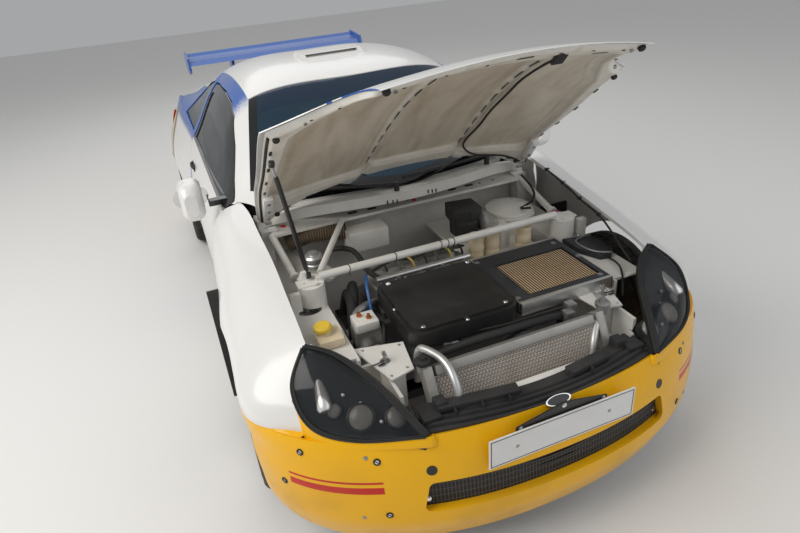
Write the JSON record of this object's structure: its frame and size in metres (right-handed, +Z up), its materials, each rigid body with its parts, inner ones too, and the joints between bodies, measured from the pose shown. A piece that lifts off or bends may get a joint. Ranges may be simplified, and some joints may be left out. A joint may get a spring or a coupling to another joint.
{
  "type": "rally car",
  "caption": "Small two-door rally coupe with its bonnet propped open over a detailed engine bay, opening doors and tailgate, steered front wheels and a tall rear wing.",
  "frame": {"origin": "centre of the bounding box at ground level, where the tyres stand", "axes": "+X towards the front of the car, +Y to the car's left, +Z up"},
  "size_m": [3.9851, 1.828, 1.5863],
  "materials": {
    "white_paint": "gloss",
    "orange_paint": "gloss",
    "blue_paint": "gloss",
    "black_metal": "satin",
    "black_plastic": "matte",
    "white_plastic": "gloss",
    "glass": "clear",
    "lamp_glass": "clear",
    "lamp_red": "gloss",
    "alloy": "satin",
    "engine": "satin",
    "steel": "satin",
    "tyre": "matte",
    "cream_plastic": "satin",
    "fabric": "matte"
  },
  "bodies": {
    "body": {"airbox_cover": "black_plastic", "bulkhead": "white_paint", "dashboard": "black_plastic", "engine_block": "engine", "exhaust": "steel", "filter_tray": "black_plastic", "floor_pan": "white_paint", "fluid_reservoirs": "cream_plastic", "front_bumper": "orange_paint", "front_member": "white_paint", "front_subframe": "black_metal", "front_wings": "white_paint", "grille": "black_plastic", "headlamp_lenses": "lamp_glass", "headlamp_units": "black_plastic", "inner_wings": "white_paint", "mud_flaps": "black_plastic", "number_plate": "white_plastic", "quarter_glass": "glass", "radiator": "alloy", "radiator_pipes": "alloy", "rear_beam": "black_metal", "rear_bumper": "orange_paint", "rear_quarters": "white_paint", "roll_cage": "white_paint", "roof_panel": "white_paint", "roof_rails": "white_paint", "scuttle_panel": "white_paint", "seats": "fabric", "sills": "white_paint", "steering_wheel": "black_plastic", "strut_brace": "white_paint", "tail_corners": "white_paint", "tail_lamps": "lamp_red", "windscreen": "glass", "wipers": "black_plastic"},
    "bonnet": {"bonnet_skin": "white_paint", "bonnet_frame": "white_paint"},
    "stay": {"bonnet_stay": "black_metal"},
    "door_left": {"door_left": "white_paint", "door_glass_left": "glass"},
    "door_right": {"door_right": "white_paint", "door_glass_right": "glass"},
    "tailgate": {"tailgate": "white_paint", "rear_glass": "glass", "rear_wing": "blue_paint"},
    "knuckle_left": {"knuckle_left": "steel"},
    "knuckle_right": {"knuckle_right": "steel"},
    "wheel_front_left": {"tyre_front_left": "tyre", "rim_front_left": "white_paint"},
    "wheel_front_right": {"tyre_front_right": "tyre", "rim_front_right": "white_paint"},
    "wheel_rear_left": {"tyre_rear_left": "tyre", "rim_rear_left": "white_paint"},
    "wheel_rear_right": {"tyre_rear_right": "tyre", "rim_rear_right": "white_paint"}
  },
  "joints": [
    {"name": "bonnet_hinge", "type": "hinge", "parent": "body", "child": "bonnet", "pos_m": [0.722, 0, 0.88], "axis": [0, 1, 0], "range_deg": [0, 47]},
    {"name": "stay_pivot", "type": "hinge", "parent": "bonnet", "child": "stay", "pos_m": [1.2451, -0.615, 1.2605], "axis": [0, 1, 0], "range_deg": [0, 45]},
    {"name": "door_left_hinge", "type": "hinge", "parent": "body", "child": "door_left", "pos_m": [0.548, 0.842, 0.6], "axis": [0, 0, -1], "range_deg": [0, 65]},
    {"name": "door_right_hinge", "type": "hinge", "parent": "body", "child": "door_right", "pos_m": [0.548, -0.842, 0.6], "axis": [0, 0, 1], "range_deg": [0, 65]},
    {"name": "tailgate_hinge", "type": "hinge", "parent": "body", "child": "tailgate", "pos_m": [-0.893, 0, 1.248], "axis": [0, 1, 0], "range_deg": [0, 75]},
    {"name": "steer_left", "type": "hinge", "parent": "body", "child": "knuckle_left", "pos_m": [1.196, 0.7, 0.19], "axis": [-0.0299, -0.2572, 0.9659], "range_deg": [-30, 30]},
    {"name": "steer_right", "type": "hinge", "parent": "body", "child": "knuckle_right", "pos_m": [1.196, -0.7, 0.19], "axis": [-0.0299, 0.2572, 0.9659], "range_deg": [-30, 30]},
    {"name": "wheel_front_left_spin", "type": "hinge", "parent": "knuckle_left", "child": "wheel_front_left", "pos_m": [1.19, 0.782, 0.305], "axis": [0, 1, 0], "continuous": true},
    {"name": "wheel_front_right_spin", "type": "hinge", "parent": "knuckle_right", "child": "wheel_front_right", "pos_m": [1.19, -0.782, 0.305], "axis": [0, 1, 0], "continuous": true},
    {"name": "wheel_rear_left_spin", "type": "hinge", "parent": "body", "child": "wheel_rear_left", "pos_m": [-1.256, 0.782, 0.305], "axis": [0, 1, 0], "continuous": true},
    {"name": "wheel_rear_right_spin", "type": "hinge", "parent": "body", "child": "wheel_rear_right", "pos_m": [-1.256, -0.782, 0.305], "axis": [0, 1, 0], "continuous": true}
  ],
  "couplings": [
    {"joint": "stay_pivot", "follows": "bonnet_hinge", "ratio": 0.957},
    {"joint": "steer_right", "follows": "steer_left", "ratio": 1}
  ]
}
